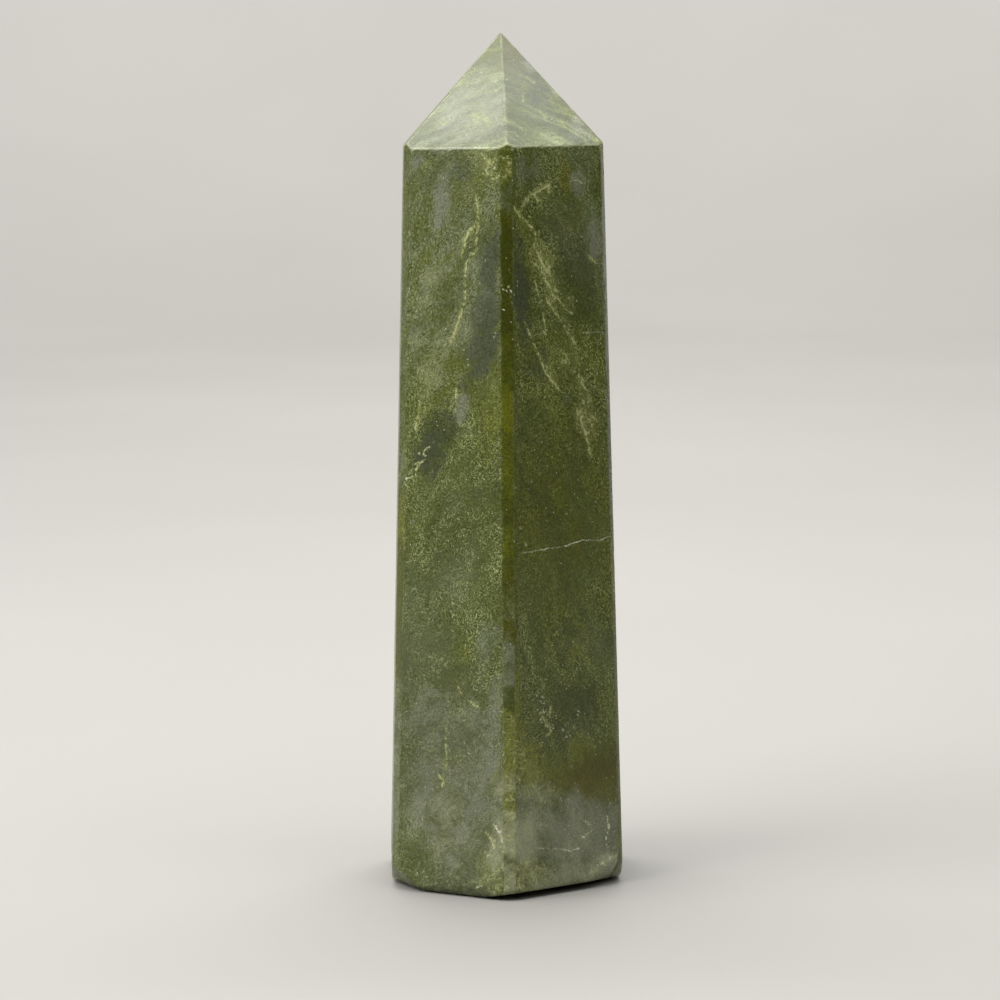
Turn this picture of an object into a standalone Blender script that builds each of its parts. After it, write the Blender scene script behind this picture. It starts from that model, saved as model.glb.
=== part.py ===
"""Vesuvianite tower: one stone ground to a tapering, six-sided point that stands on a flat base.

Lengths are in metres and +Z is up. The front corner points along -Y, and turns and lists run
from it to the right (+X) and on round the back. The origin is the middle of the stone's box,
on the surface that it stands on.
"""

import math
from typing import NamedTuple

import bmesh
import bpy
from mathutils import Vector

MM = 0.001

# Driving dimensions of the whole stone
HEIGHT = 100.0 * MM
SHOULDER_HEIGHT = 86.9 * MM
FOOT_ACROSS_FLATS = 27.45 * MM
SHOULDER_ACROSS_FLATS = 23.1 * MM
SIDES = 6

# How it was held on the wheel: slightly turned, and not quite square to its base
FRONT_CORNER_TURN = math.radians(2.1)
SHOULDER_SHIFT = Vector((0.96 * MM, 0.0, 0.0))
TIP_SHIFT = Vector((1.05 * MM, 0.0, 0.0))
TIP_FLAT_RADIUS = 0.15 * MM

# One width for each long edge, from the front corner round to the right
CHAMFER_WIDTHS = (1.42 * MM, 0.86 * MM, 1.20 * MM, 1.35 * MM, 1.00 * MM, 1.46 * MM)

# Height of each tip facet's lower edge against the shoulder, from the front right facet round
TIP_FACET_RISES = (0.05 * MM, 0.25 * MM, -0.08 * MM, 0.06 * MM, 0.25 * MM, -0.07 * MM)


class FootFacet(NamedTuple):
    """A facet that breaks a lower corner of the stone."""

    corner: int  # counted from the front corner round to the right
    aside: float  # turn away from the corner, towards the right
    height: float  # where it ends on the long edge
    tilt: float  # how far it looks down from level


FOOT_FACETS = (
    FootFacet(corner=0, aside=0.0, height=0.9 * MM, tilt=math.radians(45)),
    FootFacet(corner=1, aside=math.radians(-14), height=2.9 * MM, tilt=math.radians(27)),
    FootFacet(corner=2, aside=math.radians(5), height=2.0 * MM, tilt=math.radians(30)),
    FootFacet(corner=3, aside=0.0, height=1.3 * MM, tilt=math.radians(45)),
    FootFacet(corner=4, aside=math.radians(-6), height=2.2 * MM, tilt=math.radians(28)),
    FootFacet(corner=5, aside=0.0, height=2.5 * MM, tilt=math.radians(31)),
)

# Rounding of the edge that the stone stands on
FOOT_EDGE_RADIUS = 1.25 * MM
FOOT_EDGE_SEGMENTS = 5

# The uncut blank, larger than the finished stone all round
BLANK_RADIUS = 22.0 * MM
BLANK_HEIGHT = 120.0 * MM

SHADING_SHARP_ANGLE = math.radians(25)
FLATNESS = 1e-6

CORNER_STEP = math.tau / SIDES
HALF_STEP = CORNER_STEP / 2


def outward(turn):
    """Level direction at a turn from the front, before the stone's own small turn is added."""
    angle = turn + FRONT_CORNER_TURN
    return Vector((math.sin(angle), -math.cos(angle), 0.0))


def level_tangent(turn):
    """Level direction along a face whose outward direction is at this turn."""
    angle = turn + FRONT_CORNER_TURN
    return Vector((math.cos(angle), math.sin(angle), 0.0))


def axis_at(height):
    """Point of the stone's leaning axis at a height."""
    return SHOULDER_SHIFT * (height / SHOULDER_HEIGHT) + Vector((0.0, 0.0, height))


def flat_reach(height):
    """Distance from the axis to a side face at a height."""
    share = height / SHOULDER_HEIGHT
    across = FOOT_ACROSS_FLATS + (SHOULDER_ACROSS_FLATS - FOOT_ACROSS_FLATS) * share
    return across / 2


def corner_reach(height, chamfer_width):
    """Distance from the axis to a chamfer of this width at a height."""
    half_corner = math.pi / 2 - HALF_STEP
    depth = chamfer_width / (2 * math.tan(half_corner))
    return flat_reach(height) / math.cos(HALF_STEP) - depth


def grind(stone, point, outward_normal):
    """Takes away all that lies outside a plane, and closes the stone with one flat facet."""
    everything = stone.verts[:] + stone.edges[:] + stone.faces[:]
    cut = bmesh.ops.bisect_plane(
        stone, geom=everything, plane_co=point, plane_no=outward_normal, clear_outer=True
    )
    rim = [item for item in cut["geom_cut"] if isinstance(item, bmesh.types.BMEdge)]
    bmesh.ops.edgeloop_fill(stone, edges=rim)


def grind_upright_facet(stone, turn, foot_reach, shoulder_reach):
    """A long facet through its level lines at the foot and at the shoulder."""
    foot = outward(turn) * foot_reach
    shoulder = axis_at(SHOULDER_HEIGHT) + outward(turn) * shoulder_reach
    grind(stone, foot, level_tangent(turn).cross(shoulder - foot))


def grind_sides(stone):
    for side in range(SIDES):
        turn = side * CORNER_STEP + HALF_STEP
        grind_upright_facet(stone, turn, flat_reach(0.0), flat_reach(SHOULDER_HEIGHT))


def grind_long_edges(stone):
    for corner, width in enumerate(CHAMFER_WIDTHS):
        reaches = corner_reach(0.0, width), corner_reach(SHOULDER_HEIGHT, width)
        grind_upright_facet(stone, corner * CORNER_STEP, *reaches)


def grind_tip(stone):
    """Six facets that meet in the tip, which is then blunted to its finished height."""
    steepness = (HEIGHT - SHOULDER_HEIGHT) / corner_reach(SHOULDER_HEIGHT, 0.0)
    peak = TIP_SHIFT + Vector((0.0, 0.0, HEIGHT + TIP_FLAT_RADIUS * steepness))
    for side, rise in enumerate(TIP_FACET_RISES):
        turn = side * CORNER_STEP + HALF_STEP
        height = SHOULDER_HEIGHT + rise
        lower_edge = axis_at(height) + outward(turn) * flat_reach(height)
        grind(stone, lower_edge, level_tangent(turn).cross(peak - lower_edge))
    grind(stone, Vector((0.0, 0.0, HEIGHT)), Vector((0.0, 0.0, 1.0)))


def grind_foot_corners(stone):
    for facet in FOOT_FACETS:
        turn = facet.corner * CORNER_STEP
        reach = corner_reach(facet.height, CHAMFER_WIDTHS[facet.corner])
        top = axis_at(facet.height) + outward(turn) * reach
        level = outward(turn + facet.aside) * math.cos(facet.tilt)
        downward = Vector((0.0, 0.0, -math.sin(facet.tilt)))
        grind(stone, top, level + downward)


def round_foot_edge(stone):
    """Rounds the edge all round the flat that the stone stands on."""
    foot_edges = [
        edge for edge in stone.edges if all(abs(vert.co.z) < FLATNESS for vert in edge.verts)
    ]
    bmesh.ops.bevel(
        stone,
        geom=foot_edges,
        offset=FOOT_EDGE_RADIUS,
        offset_type="OFFSET",
        segments=FOOT_EDGE_SEGMENTS,
        profile=0.5,
        affect="EDGES",
        clamp_overlap=True,
    )


def centre_on_origin(stone):
    """Moves the stone level, until its box is centred on the origin."""
    for axis in (0, 1):
        values = [vert.co[axis] for vert in stone.verts]
        middle = (min(values) + max(values)) / 2
        for vert in stone.verts:
            vert.co[axis] -= middle


def stone_material():
    material = bpy.data.materials.new("polished_green_stone")
    material.use_nodes = True
    shader = material.node_tree.nodes["Principled BSDF"]
    shader.inputs["Base Color"].default_value = (0.13, 0.16, 0.07, 1.0)
    shader.inputs["Roughness"].default_value = 0.3
    shader.inputs["Metallic"].default_value = 0.0
    return material


def make_tower(collection):
    """Grinds the stone from a hexagonal blank."""
    bpy.ops.mesh.primitive_cylinder_add(
        vertices=SIDES,
        radius=BLANK_RADIUS,
        depth=BLANK_HEIGHT,
        location=(0.0, 0.0, 0.0),
    )
    tower = bpy.context.active_object
    tower.name = "tower"
    tower.data.name = "tower"

    stone = bmesh.new()
    stone.from_mesh(tower.data)
    bmesh.ops.translate(stone, verts=stone.verts, vec=(0.0, 0.0, BLANK_HEIGHT / 2))
    grind_sides(stone)
    grind_long_edges(stone)
    grind_tip(stone)
    grind_foot_corners(stone)
    round_foot_edge(stone)
    centre_on_origin(stone)
    bmesh.ops.recalc_face_normals(stone, faces=stone.faces)
    stone.to_mesh(tower.data)
    stone.free()

    tower.data.shade_smooth()
    tower.data.set_sharp_from_angle(angle=SHADING_SHARP_ANGLE)
    tower.data.materials.append(stone_material())
    for home in list(tower.users_collection):
        home.objects.unlink(tower)
    collection.objects.link(tower)


def main():
    for leftover in list(bpy.data.objects):
        bpy.data.objects.remove(leftover, do_unlink=True)
    collection = bpy.data.collections.new("vesuvianite_tower")
    bpy.context.scene.collection.children.link(collection)
    make_tower(collection)


main()
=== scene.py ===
"""Polished green vesuvianite tower on a pale studio floor.

Lengths are in millimetres until a mesh, lamp or camera is made, and +Z is up. The front corner
of the stone points along -Y. Turns run from it to the right (+X) and on round the back.
"""

import math
import random
from typing import NamedTuple

import bpy
from mathutils import Matrix, Vector, noise


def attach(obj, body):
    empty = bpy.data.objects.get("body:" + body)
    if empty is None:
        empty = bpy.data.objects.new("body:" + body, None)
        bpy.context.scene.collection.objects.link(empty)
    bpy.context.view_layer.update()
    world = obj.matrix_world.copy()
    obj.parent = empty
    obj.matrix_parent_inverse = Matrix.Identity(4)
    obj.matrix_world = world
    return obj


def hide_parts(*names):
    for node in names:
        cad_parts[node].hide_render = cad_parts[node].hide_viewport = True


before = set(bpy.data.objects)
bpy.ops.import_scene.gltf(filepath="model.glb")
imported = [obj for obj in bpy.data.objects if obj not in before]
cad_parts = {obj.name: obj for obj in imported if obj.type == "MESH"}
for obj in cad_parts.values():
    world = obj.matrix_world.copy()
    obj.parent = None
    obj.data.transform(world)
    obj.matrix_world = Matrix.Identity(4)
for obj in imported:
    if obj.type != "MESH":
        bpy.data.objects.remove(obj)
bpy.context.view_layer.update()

MM = 0.001
SIDES = 6

# Without a seed, the noise that bends the patches starts from the clock
NOISE_SEED = 1
noise.seed_set(NOISE_SEED)

# Heights of the zones of the stone
FOOT_ZONE_TOP = 6.0
TIP_ZONE_BOTTOM = 82.0
SHOULDER = 86.9
BLUNT_ZONE = (99.6, 97.0)
TIP = 100.0

# The layers of the stone lie across this direction
LAYER_NORMAL = Vector((0.082, 0.977, 0.195)).normalized()

# Sharpness of the polished edges, per millimetre, and at both ends
EDGE_SHARPNESS = 34.0
END_SHARPNESS = 16.0


def add_object(name, data):
    made = bpy.data.objects.new(name, data)
    bpy.context.scene.collection.objects.link(made)
    return made


def add_smooth_object(name, points, faces, material):
    """A smooth mesh through points in millimetres."""
    mesh = bpy.data.meshes.new(name)
    mesh.from_pydata([place * MM for place in points], [], faces)
    mesh.shade_smooth()
    mesh.materials.append(material)
    return add_object(name, mesh)


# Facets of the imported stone


class Plane(NamedTuple):
    """A facet's plane: outward normal, and distance from the origin along it."""

    normal: Vector
    offset: float


# The upward part of an upright facet's normal is less than this, up or down
UPRIGHT = 0.1

# Least cosine of the angle, and widest gap, between two planes of one facet
SAME_FACET = (0.9995, 0.2)
SAME_FOOT_FACET = (0.99999, 0.01)

LEAST_AREA = 2e-9  # of a triangle that counts, in square metres


def same_facet(first, second):
    """Whether two triangles' planes belong to one facet. The foot's facets are much alike."""
    cosine, gap = SAME_FACET if first.normal.z > -UPRIGHT else SAME_FOOT_FACET
    return first.normal.dot(second.normal) > cosine and abs(first.offset - second.offset) < gap


def facet_planes(mesh):
    """One plane for each facet, without the base and the blunt end of the tip."""
    found = []
    for polygon in sorted(mesh.polygons, key=lambda polygon: -polygon.area):
        if polygon.area < LEAST_AREA or abs(polygon.normal.z) > 0.999:
            continue
        normal = polygon.normal.normalized()
        plane = Plane(normal, normal.dot(polygon.center) / MM)
        if not any(same_facet(known, plane) for known in found):
            found.append(plane)
    return found


def turn_of(direction):
    return math.atan2(direction.x, -direction.y)


def sort_facets(planes):
    """Upright facets from the front corner round, tip facets in the same order, and the rest."""
    upright = [plane for plane in planes if abs(plane.normal.z) < UPRIGHT]
    tip = [plane for plane in planes if plane.normal.z > UPRIGHT]
    foot = [plane for plane in planes if plane.normal.z < -UPRIGHT]
    quarter_step = math.radians(15)
    for group in (upright, tip):
        group.sort(key=lambda plane: (turn_of(plane.normal) + quarter_step) % math.tau)
    return upright, tip, foot


def meeting_point(first, second, height):
    """Point where two planes meet at a height."""
    a, b = first.normal, second.normal
    c = first.offset - a.z * height
    d = second.offset - b.z * height
    spread = a.x * b.y - a.y * b.x
    return Vector(((c * b.y - d * a.y) / spread, (a.x * d - b.x * c) / spread, height))


class Stone:
    """The facets of the stone, and the lines that its surface is built on."""

    def __init__(self, mesh):
        self.upright, self.tip, self.foot = sort_facets(facet_planes(mesh))
        self.sides = self.upright[1::2]
        self.low_centre = self.hexagon_centre(0.0)
        self.high_centre = self.hexagon_centre(SHOULDER)
        self.peak = self.find_peak()

    def hexagon_centre(self, height):
        corners = [
            meeting_point(self.sides[i - 1], self.sides[i], height) for i in range(SIDES)
        ]
        return sum(corners, Vector()) / SIDES

    def find_peak(self):
        first, second, third = self.tip[0], self.tip[2], self.tip[4]
        system = Matrix((first.normal, second.normal, third.normal))
        return system.inverted() @ Vector((first.offset, second.offset, third.offset))

    def axis_at(self, height):
        if height <= SHOULDER:
            return self.low_centre.lerp(self.high_centre, height / SHOULDER)
        share = (height - SHOULDER) / (self.peak.z - SHOULDER)
        return self.high_centre.lerp(self.peak, share)

    def planes_at(self, height):
        planes = list(self.upright)
        if height < FOOT_ZONE_TOP:
            planes += self.foot
        if height > TIP_ZONE_BOTTOM:
            planes += self.tip
        return planes

    def tangent(self, side):
        """Level direction along a side, to the right as seen from outside."""
        normal = self.sides[side].normal
        return Vector((-normal.y, normal.x, 0.0)).normalized()

    def on_side(self, side, across, height):
        """Point of a side's own plane, across from its middle line at a height."""
        plane = self.sides[side]
        place = self.axis_at(height) + self.tangent(side) * across
        outward = Vector((plane.normal.x, plane.normal.y, 0.0)).normalized()
        depth = plane.offset - plane.normal.dot(place)
        return place + outward * (depth / plane.normal.dot(outward))

    def layer_lean(self, side):
        """Turn, to the left, of the line in which the layers cut a side."""
        line = LAYER_NORMAL.cross(self.sides[side].normal)
        if line.z < 0.0:
            line.negate()
        return math.degrees(math.atan2(-line.dot(self.tangent(side)), line.z))


# Markings of the stone

# The two sides that face the camera
LEFT, RIGHT = 5, 0


class Patch(NamedTuple):
    """A soft-edged area of one colour on a side."""

    tone: str
    across: float  # from the middle of the side, to the right
    height: float
    half_width: float
    half_height: float
    strength: float
    lean: float = 0.0  # how far its top turns to the left, in degrees


class Streak(NamedTuple):
    """A broken line of grains along points on a side, each across and height."""

    width: float
    strength: float
    points: tuple
    tone: str = "fleck"


class Band(NamedTuple):
    """A colour over a stretch of a chamfer."""

    tone: str
    chamfer: int  # from the front one, 0, round to the right
    low: float
    high: float
    strength: float


def listed(kind, *rows):
    """Markings of one kind, each from a row of its values."""
    return tuple(kind(*row) for row in rows)


LEFT_PATCHES = listed(
    Patch,
    ("lilac", -4.6, 85.4, 0.9, 1.3, 0.9, -10),
    ("fleck", -3.7, 84.6, 1.0, 0.9, 0.55, -30),
    ("lilac", -1.7, 81.1, 1.1, 3.3, 0.75, -5),
    ("brown", -2.6, 85.5, 1.4, 1.4, 0.3),
    ("dark", 1.1, 84.1, 1.7, 1.8, 0.55, 15),
    ("grey", 3.9, 84.7, 1.9, 1.7, 0.6, -20),
    ("fleck", 4.2, 85.0, 1.7, 1.4, 0.8, -25),
    ("slate", 4.8, 73.8, 1.2, 4.2, 0.9, -8),
    ("slate", 4.1, 65.8, 1.9, 4.9, 1.0, -8),
    ("slate", 3.3, 62.6, 2.7, 2.0, 0.8),
    ("slate", 1.7, 59.9, 0.8, 0.9, 0.7, -15),
    ("fleck", -3.4, 69.9, 2.4, 3.9, 0.3, -22),
    ("fleck", -3.5, 62.3, 3.0, 4.9, 0.3, -20),
    ("grey", -3.9, 70.8, 0.8, 0.9, 0.8, -25),
    ("grey", -5.5, 65.9, 0.7, 0.8, 0.8, -25),
    ("lilac", 1.5, 57.3, 0.9, 1.5, 0.65, -10),
    ("dark", -1.7, 55.0, 2.1, 2.1, 1.0, -35),
    ("slate", -3.2, 51.6, 2.0, 2.2, 0.9, -30),
    ("olive", 4.3, 56.0, 1.8, 4.9, 0.4),
    ("olive", -0.5, 47.8, 0.4, 1.2, 0.4),
    ("brown", 2.2, 46.8, 0.6, 0.6, 0.5),
    ("lilac", -5.4, 43.9, 0.6, 0.7, 0.5),
    ("olive", 1.1, 29.1, 1.4, 2.1, 0.45, -15),
    ("grey", 4.9, 30.3, 1.5, 3.1, 0.55, -10),
    ("lilac", 5.4, 22.1, 1.4, 4.2, 0.6, -8),
    ("lilac", 1.0, 13.0, 9.0, 13.0, 0.5, -8),
    ("grey", -1.0, 74.0, 9.0, 17.0, 0.38),
    # The light patches are painted light, pale washes over the side
    ("light", -1.5, 68.0, 9.0, 13.0, 0.2),
    ("lilac", -3.2, 12.5, 1.3, 6.0, 0.7, -24),
    # Painted contact shadow along the foot
    ("dark", 0.0, 0.2, 10.0, 0.9, 0.9),
    ("fleck", 6.0, 3.2, 2.4, 3.2, 0.9),
    # Painted light over the lower part and the foot
    ("light", 6.1, 6.6, 1.5, 3.4, 0.65, -10),
    ("light", -0.5, 6.8, 7.5, 5.2, 0.28, -15),
    ("light", 6.6, 14.0, 1.5, 3.2, 0.35),
    ("light", 0.0, 22.0, 9.0, 6.0, 0.14),
    ("dark", 3.4, 0.9, 3.6, 1.3, 0.8),
    ("grey", -3.8, 21.0, 3.1, 3.8, 0.45, -20),
    ("lilac", 4.9, 15.1, 0.9, 3.2, 1.0, -12),
    ("lilac", 3.2, 11.0, 1.1, 2.6, 1.0, -32),
    ("lilac", 1.2, 7.4, 1.2, 2.2, 1.0, -34),
    ("lilac", 0.2, 4.6, 0.9, 1.4, 0.9, -10),
    ("olive", 6.1, 14.6, 0.7, 2.7, 0.7),
    ("olive", -0.6, 7.9, 1.9, 3.9, 0.55, -25),
    ("grey", -2.4, 7.4, 0.7, 0.9, 0.9, -20),
    ("pale", 4.0, 2.2, 1.1, 0.7, 0.6),
    ("brown", 1.3, 3.5, 0.9, 1.1, 0.5, -10),
    ("pale", 5.9, 6.7, 1.0, 2.6, 0.5, -12),
    ("olive", 0.2, 97.4, 2.4, 2.4, 0.6, 10),
    ("dark", 0.0, 98.0, 3.6, 3.4, 0.6),
    ("lilac", 0.0, 91.5, 8.0, 5.0, 0.6),
    ("lilac", -0.7, 87.9, 1.2, 0.5, 0.5),
    ("fleck", 1.9, 90.2, 1.5, 1.1, 0.2, -30),
)

RIGHT_PATCHES = listed(
    Patch,
    ("grey", -3.9, 84.5, 1.8, 2.0, 0.6),
    ("brown", 1.1, 83.2, 1.1, 3.4, 0.4, -5),
    ("brown", 2.8, 78.7, 0.8, 2.2, 0.4, -10),
    ("brown", 1.1, 78.0, 1.2, 1.8, 0.35, 10),
    ("lilac", 2.8, 82.8, 1.0, 1.5, 0.6),
    ("lilac", 5.1, 76.1, 1.1, 2.3, 0.8, -5),
    ("fleck", -2.1, 73.7, 1.6, 2.8, 0.8, 15),
    ("fleck", -0.7, 70.4, 1.8, 2.4, 0.6, 18),
    ("fleck", 1.6, 68.4, 1.1, 1.3, 0.6, 25),
    ("slate", -5.0, 70.1, 1.2, 6.0, 0.9, 3),
    ("slate", -3.4, 62.2, 2.4, 2.3, 0.45, 15),
    ("fleck", 1.4, 62.2, 2.9, 2.0, 0.55, 20),
    ("fleck", 3.6, 56.2, 1.7, 3.5, 0.85, 15),
    ("grey", 0.9, 57.2, 0.8, 0.6, 0.7),
    ("dark", 3.2, 50.0, 1.5, 1.5, 0.6, 10),
    ("olive", -1.7, 51.3, 2.5, 3.5, 0.35, 10),
    ("dark", 2.8, 70.7, 3.0, 4.9, 0.45, 12),
    ("dark", 0.2, 44.0, 8.0, 12.0, 0.42, 10),
    ("olive", -0.5, 43.0, 8.0, 17.0, 0.45, 8),
    ("olive", -5.4, 16.0, 2.0, 3.8, 1.0, 24),
    ("brown", 4.2, 13.2, 5.2, 2.4, 1.0, 4),
    ("dark", 4.2, 14.2, 4.6, 2.4, 0.7, 4),
    ("olive", 1.6, 14.6, 5.6, 3.4, 1.0, 4),
    ("lilac", 2.6, 7.0, 5.8, 4.4, 1.0),
    ("pale", -2.3, 20.0, 0.5, 1.1, 1.0, 25),
    ("pale", -2.9, 22.2, 1.6, 2.8, 0.62, 30),
    ("pale", 1.2, 19.6, 3.2, 1.6, 0.55, 60),
    ("dark", 0.5, 21.6, 5.5, 3.2, 0.45, 20),
    ("olive", -6.6, 21.5, 1.1, 8.0, 0.8, 3),
    ("fleck", -5.6, 15.6, 1.8, 4.0, 0.6, 24),
    ("fleck", -5.8, 2.8, 2.8, 2.8, 1.0),
    ("dark", -0.6, 7.8, 1.3, 1.8, 0.5, 15),
    ("grey", -4.1, 4.4, 1.4, 1.3, 0.7),
    ("olive", -5.7, 4.1, 1.4, 1.8, 0.8, 25),
    ("pale", 5.9, 1.8, 1.8, 0.6, 0.5),
    # Painted light over the lower part and along the foot
    ("light", -1.5, 6.2, 7.5, 6.0, 0.32),
    ("light", -5.8, 7.0, 2.6, 4.4, 0.7),
    ("light", -3.6, 12.0, 3.6, 1.8, 0.4, -12),
    ("light", 1.0, 1.6, 8.0, 1.8, 0.6),
    ("light", 6.4, 2.6, 2.4, 1.8, 0.85, 10),
    ("edge", 5.6, 13.2, 3.6, 2.2, 0.8, 4),
    ("olive", 4.8, 13.2, 4.6, 2.2, 0.9, 4),
    ("lilac", 6.2, 2.0, 1.8, 1.4, 1.0),
    ("brown", -0.4, 97.6, 2.4, 3.0, 0.9, 20),
    ("dark", 0.0, 97.6, 4.0, 4.4, 1.0),
    ("olive", 0.0, 97.6, 3.0, 3.8, 0.9),
    ("grey", 0.0, 93.5, 4.0, 4.4, 0.5),
    ("lilac", 1.6, 96.1, 1.1, 0.8, 0.8, 25),
    ("slate", 1.1, 93.5, 3.3, 1.3, 0.6, 25),
    ("lilac", 4.7, 88.8, 2.5, 1.3, 0.6, 30),
    ("fleck", -0.9, 92.8, 2.0, 0.5, 0.5, 20),
)

LEFT_STREAKS = listed(
    Streak,
    (
        0.45, 0.62,
        ((2.8, 81.4), (3.1, 80.0), (3.0, 78.7), (2.6, 74.9), (1.7, 73.9))
        + ((1.4, 71.8), (1.5, 69.8), (1.0, 68.3), (0.3, 66.0), (-0.3, 64.7)),
    ),
    (0.5, 0.7, ((2.6, 78.0), (1.5, 76.4), (1.0, 74.6))),
    (0.35, 0.8, ((3.8, 85.7), (4.8, 85.0), (5.5, 85.7))),
    (0.35, 0.6, ((4.1, 84.1), (5.1, 83.4), (5.8, 83.7))),
    (0.3, 0.6, ((-2.8, 52.9), (-3.8, 51.9), (-3.7, 51.0), (-4.8, 50.4)), "pale"),
    (0.3, 0.45, ((-4.3, 50.7), (-4.7, 49.8)), "pale"),
    (0.3, 0.5, ((-5.0, 49.0), (-6.5, 48.5), (-5.9, 47.6)), "pale"),
    (0.3, 0.6, ((-4.4, 57.7), (-4.6, 56.6), (-4.8, 54.6))),
    (0.3, 0.6, ((0.4, 59.2), (0.4, 58.4))),
    (0.4, 0.7, ((0.2, 25.7), (1.3, 23.9)), "brown"),
    (0.3, 0.5, ((2.6, 23.1), (3.5, 22.7))),
    (0.25, 0.8, ((-1.5, 14.1), (-0.9, 13.6), (-1.1, 13.0))),
    (0.3, 0.6, ((-0.8, 18.4), (-0.7, 15.4))),
    (0.4, 0.7, ((4.7, 7.8), (5.5, 7.1), (6.0, 6.2))),
    (0.4, 0.8, ((5.7, 9.0), (6.8, 7.7), (7.3, 6.1), (7.6, 4.5)), "pale"),
    (0.3, 0.5, ((-7.3, 3.3), (-7.0, 1.7))),
    (0.3, 0.5, ((0.7, 90.7), (2.3, 90.2), (3.5, 89.5))),
    (0.2, 0.5, ((-3.2, 89.8), (-2.4, 89.6))),
)

RIGHT_STREAKS = listed(
    Streak,
    (
        0.35, 0.85,
        ((-4.6, 80.2), (-3.6, 81.3), (-2.5, 82.0), (-1.4, 82.4), (-0.8, 82.6), (-1.0, 81.8)),
    ),
    (0.35, 0.6, ((-2.6, 81.1), (-2.1, 80.6))),
    (0.3, 0.8, ((-5.6, 80.0), (-5.0, 79.1), (-3.8, 78.2), (-3.1, 77.3), (-2.9, 76.3))),
    (0.4, 0.8, ((-3.2, 75.8), (-2.5, 74.7), (-2.0, 73.7), (-1.2, 72.6))),
    (0.3, 0.8, ((4.2, 74.3), (4.6, 73.8), (5.2, 73.5))),
    (0.35, 0.7, ((-2.1, 72.6), (-0.8, 70.5), (0.5, 68.8), (1.9, 67.6))),
    (0.35, 0.6, ((-1.4, 69.4), (0.0, 67.5), (1.0, 65.8), (2.2, 64.4))),
    (0.3, 0.6, ((-4.6, 66.9), (-3.8, 65.4))),
    (0.3, 0.6, ((-2.1, 67.7), (-1.7, 65.5))),
    (0.3, 0.5, ((-3.0, 71.3), (-2.7, 70.2))),
    (0.3, 0.8, ((-3.4, 64.3), (-3.0, 63.4), (-1.7, 61.3), (-0.7, 59.9), (-0.1, 59.1))),
    (0.4, 0.7, ((1.0, 62.8), (1.5, 61.6), (2.3, 60.7), (3.3, 59.9))),
    (
        0.4, 0.9,
        ((3.1, 59.5), (4.1, 58.2), (4.3, 57.3), (3.5, 56.2), (3.0, 55.2), (3.7, 53.6), (4.2, 51.0)),
    ),
    (0.3, 0.7, ((2.7, 83.0), (3.6, 82.7)), "lilac"),
    (0.3, 0.5, ((-1.9, 22.0), (-2.0, 21.5))),
    (0.3, 0.8, ((-3.1, 21.5), (-2.5, 20.3), (-1.8, 19.5), (-2.4, 19.0))),
    (0.25, 0.5, ((-3.3, 25.7), (-2.8, 24.8))),
    (0.25, 0.5, ((-5.4, 26.7), (-4.5, 28.2))),
    (0.35, 0.7, ((5.4, 8.9), (6.0, 7.3), (5.7, 5.9), (5.8, 4.5)), "pale"),
    (0.3, 0.6, ((2.3, 8.4), (3.0, 7.8), (3.7, 7.1), (2.3, 6.2)), "pale"),
    (0.35, 0.8, ((2.5, 1.5), (4.2, 2.4), (5.6, 3.2), (6.9, 3.8)), "pale"),
    (0.6, 0.7, ((-8.5, 2.3), (-7.1, 1.5)), "pale"),
    (0.3, 0.5, ((0.7, 94.7), (1.2, 94.2))),
    (0.3, 0.5, ((0.1, 90.7), (0.5, 90.1))),
    (0.3, 0.5, ((2.2, 89.7), (2.6, 89.1))),
)

SEEN_MARKINGS = {LEFT: LEFT_PATCHES + LEFT_STREAKS, RIGHT: RIGHT_PATCHES + RIGHT_STREAKS}

CHAMFER_BANDS = listed(
    Band,
    ("fleck", 0, 83.6, 87.4, 0.7),
    ("pale", 0, 84.6, 86.6, 0.25),
    ("pale", 0, 0.4, 1.4, 0.9),
    # Painted light over the foot of the front chamfer
    ("light", 0, 0.0, 5.0, 0.55),
    ("light", 0, 5.0, 10.0, 0.55),
    ("brown", 0, 77.0, 81.2, 0.35),
    ("grey", 0, 79.5, 83.0, 0.35),
    ("dark", 0, 63.0, 79.5, 1.0),
    ("pale", 0, 69.6, 71.6, 0.6),
    ("olive", 0, 45.0, 66.0, 0.4),
    ("olive", 0, 53.5, 60.0, 0.7),
    ("brown", 0, 52.3, 53.7, 0.4),
    ("olive", 0, 39.0, 43.5, 0.35),
    ("brown", 0, 36.6, 38.6, 0.4),
    ("fleck", 0, 32.0, 36.5, 0.35),
    ("lilac", 0, 33.4, 34.2, 0.6),
    ("brown", 0, 29.6, 32.2, 0.4),
    ("grey", 0, 24.5, 29.7, 0.6),
    ("pale", 0, 25.5, 29.0, 0.25),
    # Painted light on the front chamfer
    ("light", 0, 24.5, 30.0, 0.25),
    ("light", 0, 12.5, 15.0, 0.35),
    ("fleck", 0, 0.0, 22.0, 0.6),
    ("olive", 0, 8.0, 22.0, 0.7),
    ("brown", 5, 74.0, 87.0, 0.3),
    ("grey", 5, 48.0, 87.0, 0.4),
    ("olive", 5, 26.0, 46.0, 0.6),
    ("dark", 5, 26.0, 42.0, 0.6),
    ("lilac", 5, 6.0, 22.0, 0.4),
    ("lilac", 1, 62.0, 86.0, 0.5),
    ("grey", 1, 42.0, 64.0, 0.5),
    ("olive", 1, 4.0, 40.0, 0.5),
    ("dark", 1, 4.0, 34.0, 0.4),
)

# Where the front chamfer's own deep olive fades out towards the foot
EDGE_FADE = (8.0, 34.0)

# Half of the width of a side between its chamfers, at the foot and at the shoulder
SIDE_HALF_WIDTH = 7.3
SHOULDER_HALF_WIDTH = 6.1

# The light tone is painted light: a pale highlight along the edges, and pale washes that lighten parts
# of the sides and the front chamfer, most of all near the foot.
TONES = ("lilac", "grey", "slate", "dark", "olive", "brown", "fleck", "pale", "edge", "light")

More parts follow.
